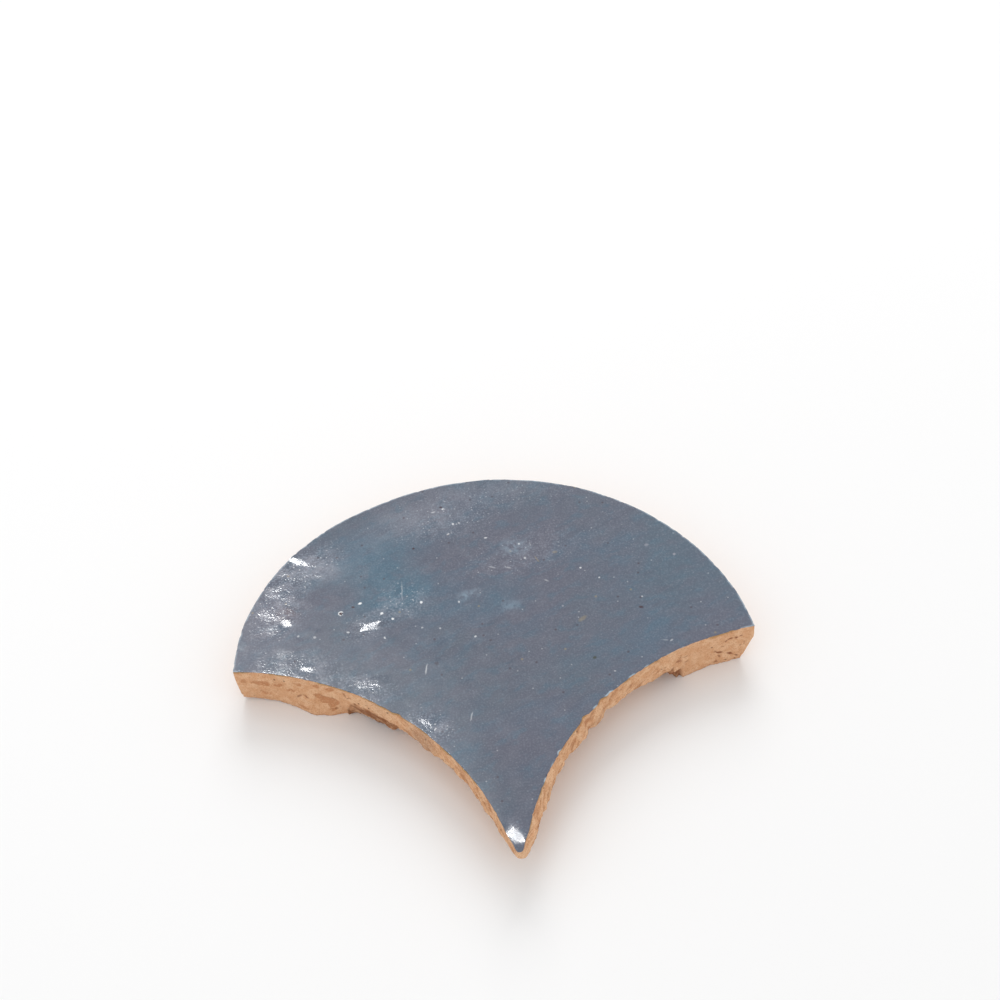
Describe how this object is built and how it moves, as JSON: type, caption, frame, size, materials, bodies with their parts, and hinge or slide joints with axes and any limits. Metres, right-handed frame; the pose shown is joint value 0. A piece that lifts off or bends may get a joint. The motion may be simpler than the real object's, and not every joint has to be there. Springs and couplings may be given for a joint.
{
  "type": "fish scale tile",
  "caption": "Fan-shaped wall tile of fired clay with a glazed face: a round crown, hollow sides that nest with the next course, a blunt tip and hand-chiselled undercut edges.",
  "frame": {"origin": "on the flat back, under the centre of the crown's circle", "axes": "+Z out of the glazed face, +Y to the top of the crown, +X across the tile to its right corner"},
  "size_m": [0.1177, 0.1022, 0.012],
  "materials": {
    "fired_clay": "glossy mottled slate-blue glaze on the face, bare tan clay on the edges and the back"
  },
  "bodies": {
    "root": {"fish_scale_tile": "fired_clay"}
  },
  "joints": []
}
